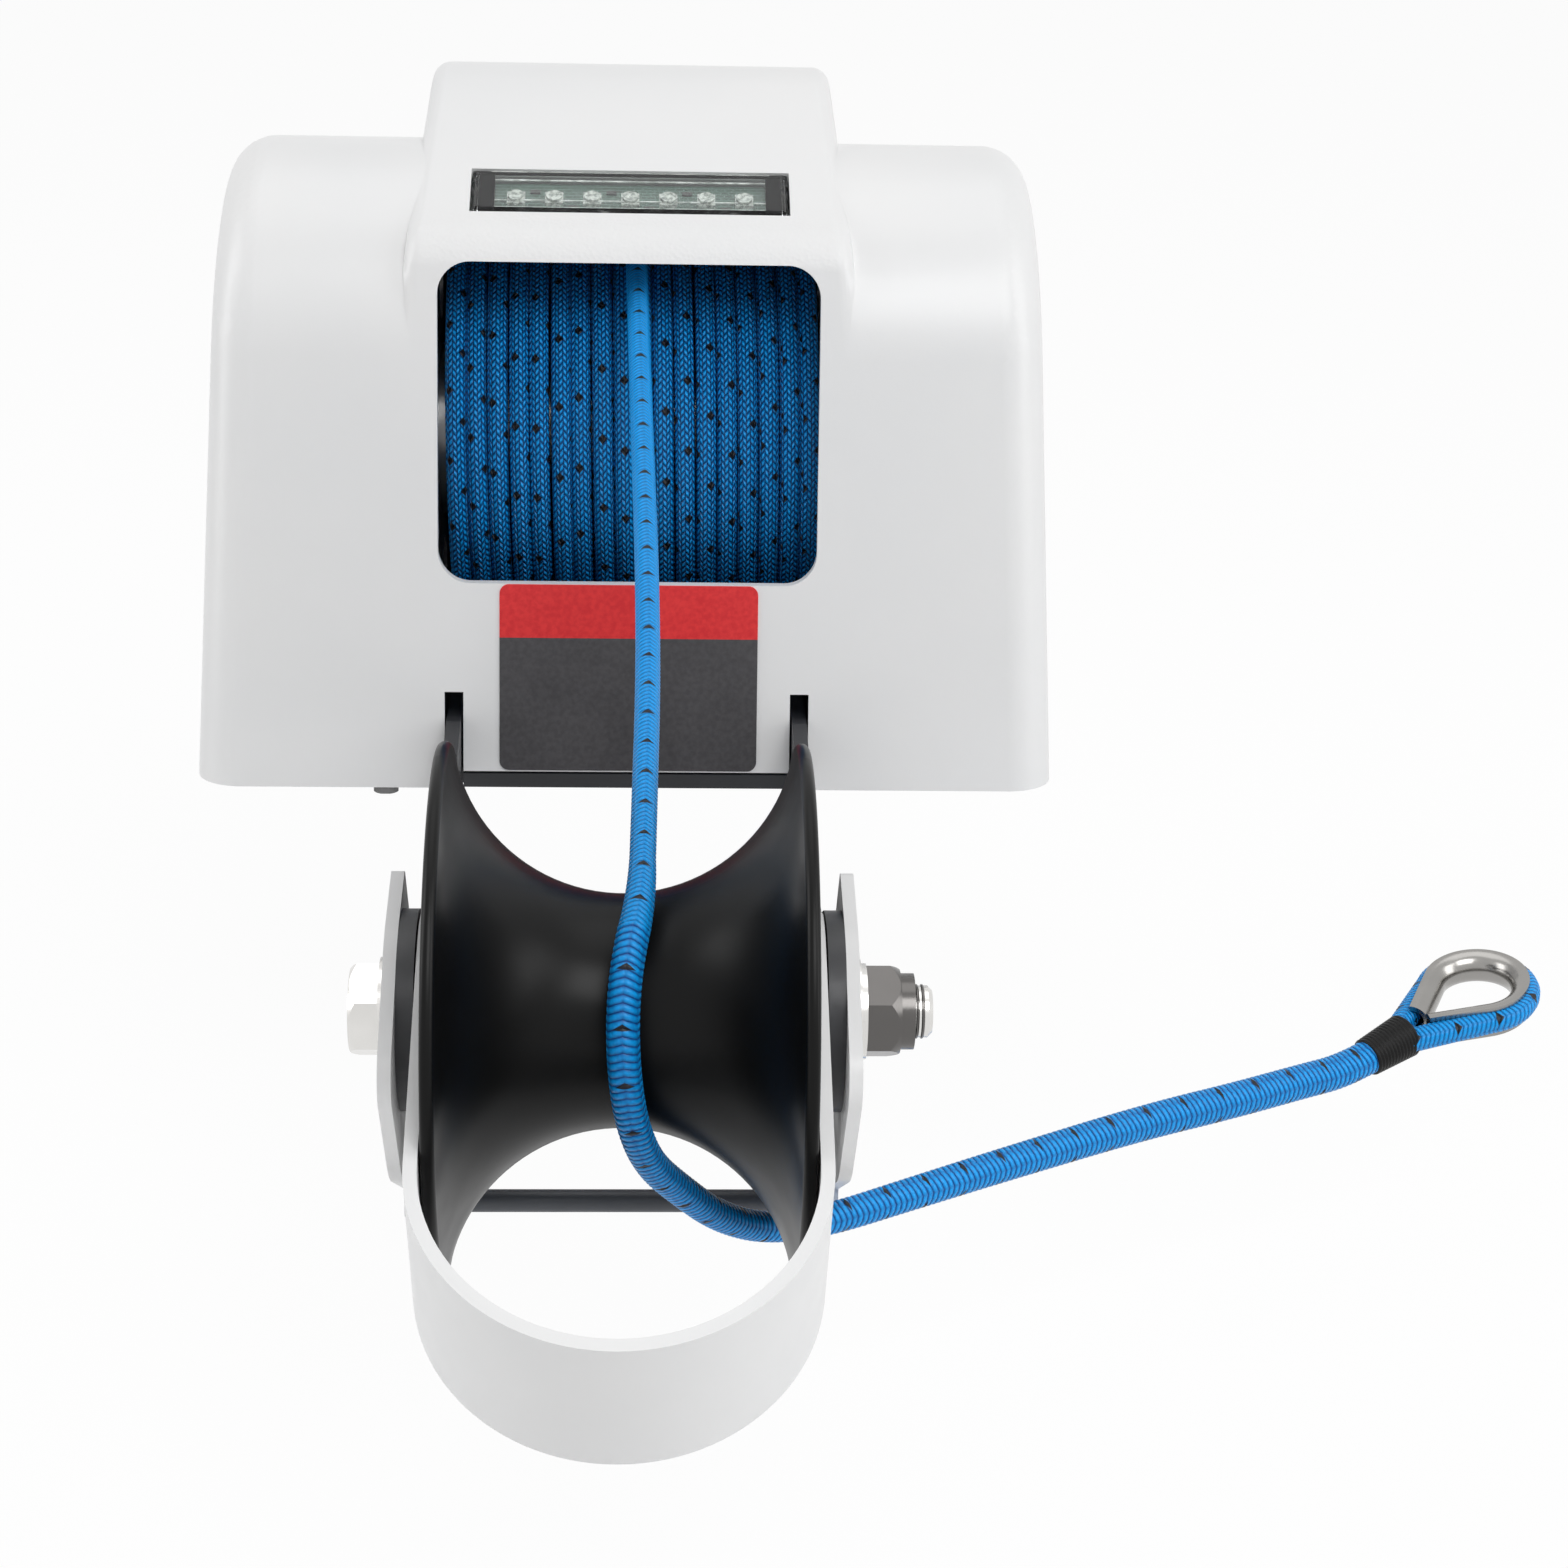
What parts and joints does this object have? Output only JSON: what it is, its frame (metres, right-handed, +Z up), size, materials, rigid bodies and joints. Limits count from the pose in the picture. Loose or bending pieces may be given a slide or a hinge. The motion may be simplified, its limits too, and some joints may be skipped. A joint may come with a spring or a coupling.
{
  "type": "anchor windlass",
  "caption": "Deck-mounted electric anchor windlass: a moulded cover over a geared rope drum, with a davit, roller and swinging bail at the bow.",
  "frame": {"origin": "middle of the base plate's underside, on the deck", "axes": "+Z up from the deck, -Y forward over the bow along the davit, +X to the right seen from the bow side of the window"},
  "size_m": [0.3736, 0.4741, 0.2524],
  "materials": {
    "cover_grey": "pale grey moulded plastic",
    "black_rubber": "matt",
    "black_plastic": "matt black",
    "base_grey": "satin black",
    "clear_lens": "clear, polished",
    "board_green": "green circuit board",
    "lamp_white": "white lamps",
    "arm_black": "satin black paint",
    "white_paint": "white powder coat",
    "stainless": "stainless, lightly brushed",
    "roller_black": "satin black moulding",
    "bronze": "plain bronze",
    "plate_steel": "dark grey paint",
    "shaft_steel": "ground steel",
    "gear_steel": "machined steel",
    "drum_aluminium": "turned",
    "motor_black": "satin black",
    "magnet_dark": "dull",
    "winding_copper": "varnished copper",
    "blue_rope": "braided blue rope with black flecks"
  },
  "bodies": {
    "frame": {"housing_cover": "cover_grey", "rim_bumper": "black_rubber", "cable_gland": "black_plastic", "relays": "black_plastic", "whipping": "black_plastic", "base_plate": "base_grey", "led_lens": "clear_lens", "led_board": "board_green", "control_board": "board_green", "leds": "lamp_white", "arm_left": "arm_black", "arm_right": "arm_black", "cheek_left": "white_paint", "cheek_right": "white_paint", "cross_bar": "stainless", "axle_bolt": "stainless", "axle_nut": "stainless", "axle_washers": "stainless", "cover_screws": "stainless", "plate_screws": "stainless", "thimble": "stainless", "roller_washers": "stainless", "board_standoffs": "stainless", "drum_bush_left": "bronze", "drum_bush_right": "bronze", "bearing_plate_left": "plate_steel", "bearing_plate_right": "plate_steel", "plate_ties": "plate_steel", "idler_pin": "shaft_steel", "motor_can": "motor_black", "motor_end_cap": "motor_black", "motor_magnets": "magnet_dark", "rope_free": "blue_rope", "rope_splice": "blue_rope", "rope_eye": "blue_rope"},
    "drum": {"drum_shaft": "shaft_steel", "shaft_clips": "stainless", "drum_core": "drum_aluminium", "drum_flange_left": "drum_aluminium", "drum_flange_right": "drum_aluminium", "rope_winding": "blue_rope", "drum_gear": "gear_steel"},
    "idler": {"idler_pinion": "gear_steel", "idler_gear": "gear_steel"},
    "motor_rotor": {"motor_shaft": "shaft_steel", "motor_pinion": "gear_steel", "motor_armature": "winding_copper"},
    "roller": {"roller": "roller_black", "roller_bush": "bronze"},
    "bail": {"bail": "white_paint"}
  },
  "joints": [
    {"name": "drum_spin", "type": "hinge", "parent": "frame", "child": "drum", "pos_m": [0, -0.008, 0.082], "axis": [1, 0, 0], "continuous": true},
    {"name": "idler_spin", "type": "hinge", "parent": "frame", "child": "idler", "pos_m": [0, 0.04429, 0.07729], "axis": [1, 0, 0], "continuous": true},
    {"name": "motor_spin", "type": "hinge", "parent": "frame", "child": "motor_rotor", "pos_m": [0, 0.052, 0.036], "axis": [1, 0, 0], "continuous": true},
    {"name": "roller_spin", "type": "hinge", "parent": "frame", "child": "roller", "pos_m": [0, -0.2643, 0.00615], "axis": [1, 0, 0], "continuous": true},
    {"name": "bail_pivot", "type": "hinge", "parent": "frame", "child": "bail", "pos_m": [0, -0.2643, 0.00615], "axis": [-1, 0, 0], "range_deg": [-50, 140]}
  ],
  "couplings": [
    {"joint": "idler_spin", "follows": "drum_spin", "ratio": -4},
    {"joint": "motor_spin", "follows": "drum_spin", "ratio": 24}
  ]
}
